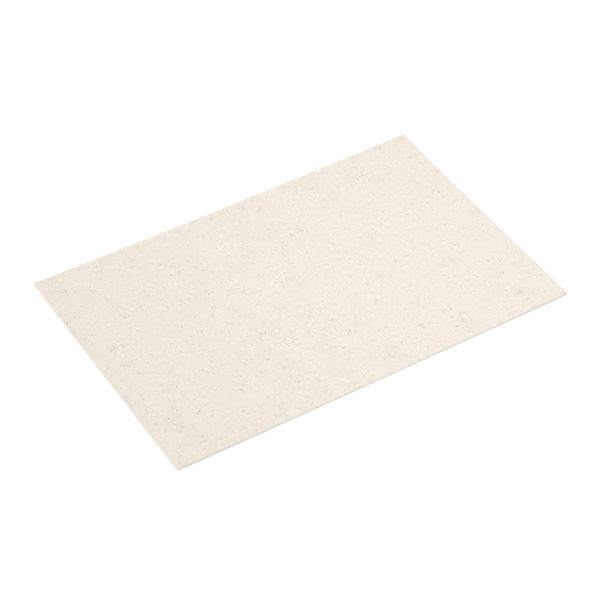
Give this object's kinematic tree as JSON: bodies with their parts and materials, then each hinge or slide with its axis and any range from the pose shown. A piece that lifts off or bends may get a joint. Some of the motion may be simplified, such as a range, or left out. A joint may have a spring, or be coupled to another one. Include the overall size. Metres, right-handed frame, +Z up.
{
  "type": "desk pad",
  "caption": "Flat rectangular desk pad with a thick flecked wool felt writing surface, bonded to a thin latex grip backing with low moulded nubs.",
  "frame": {"origin": "on the desk surface, under the middle of the pad, at the tip of the middle grip nub", "axes": "+X along the long side, +Y from the front edge to the back edge, +Z up out of the writing surface"},
  "size_m": [0.5, 0.33, 0.0025],
  "materials": {
    "felt": "natural ecru pressed wool felt with tan and brown flecks, matte, slightly fuzzy, raw cut edge",
    "film": "milky translucent hot-melt adhesive film",
    "latex": "pale natural latex, matte, fine stipple between low round nubs"
  },
  "bodies": {
    "root": {"felt_face": "felt", "bonding_film": "film", "grip_backing": "latex"}
  },
  "joints": []
}
